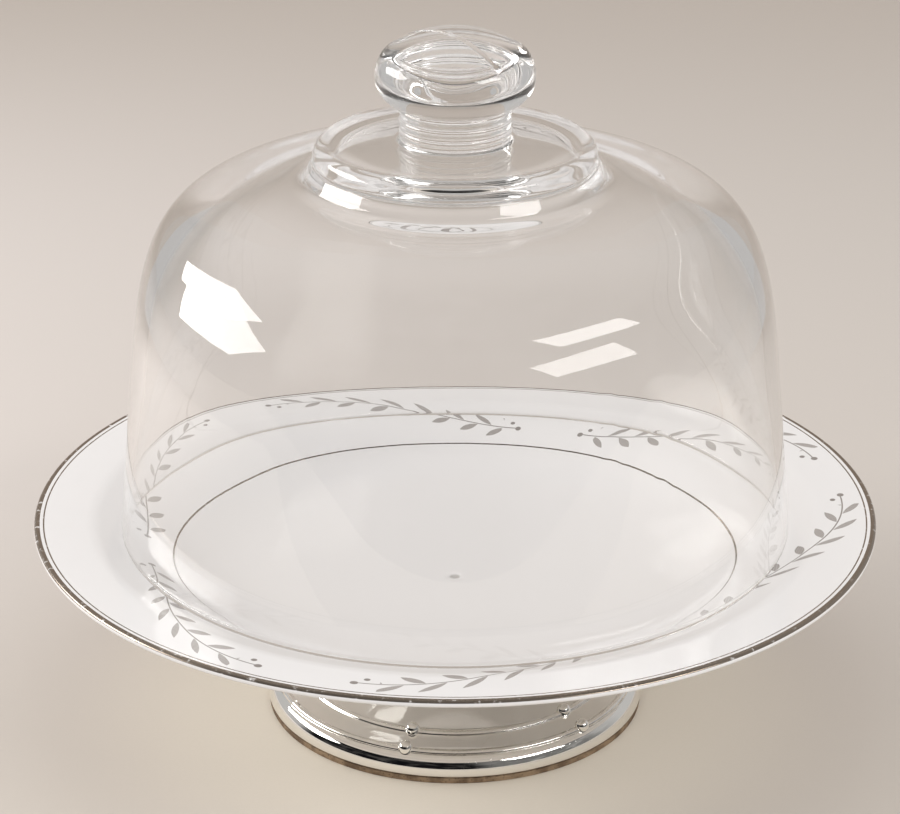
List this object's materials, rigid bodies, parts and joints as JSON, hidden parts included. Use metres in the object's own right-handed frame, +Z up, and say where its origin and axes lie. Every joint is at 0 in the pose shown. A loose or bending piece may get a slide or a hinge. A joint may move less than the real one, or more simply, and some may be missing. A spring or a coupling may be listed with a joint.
{
  "type": "footed cheese plate with glass dome",
  "caption": "Round glazed porcelain plate on a low flared plated foot, covered by a clear glass dome with a solid collar and mushroom knob that lifts off.",
  "frame": {"origin": "centre of the underside, on the table", "axes": "+Z up along the axis that every piece is turned about; -Y towards the viewer of the picture, +X to their right"},
  "size_m": [0.3048, 0.3048, 0.2553],
  "materials": {
    "porcelain": "gloss",
    "clear_glass": "polished",
    "silver_plate": "polished",
    "cork_pad": "matte"
  },
  "bodies": {
    "root": {"plate": "porcelain", "glass_dome": "clear_glass", "foot": "silver_plate", "base_pad": "cork_pad"}
  },
  "joints": []
}
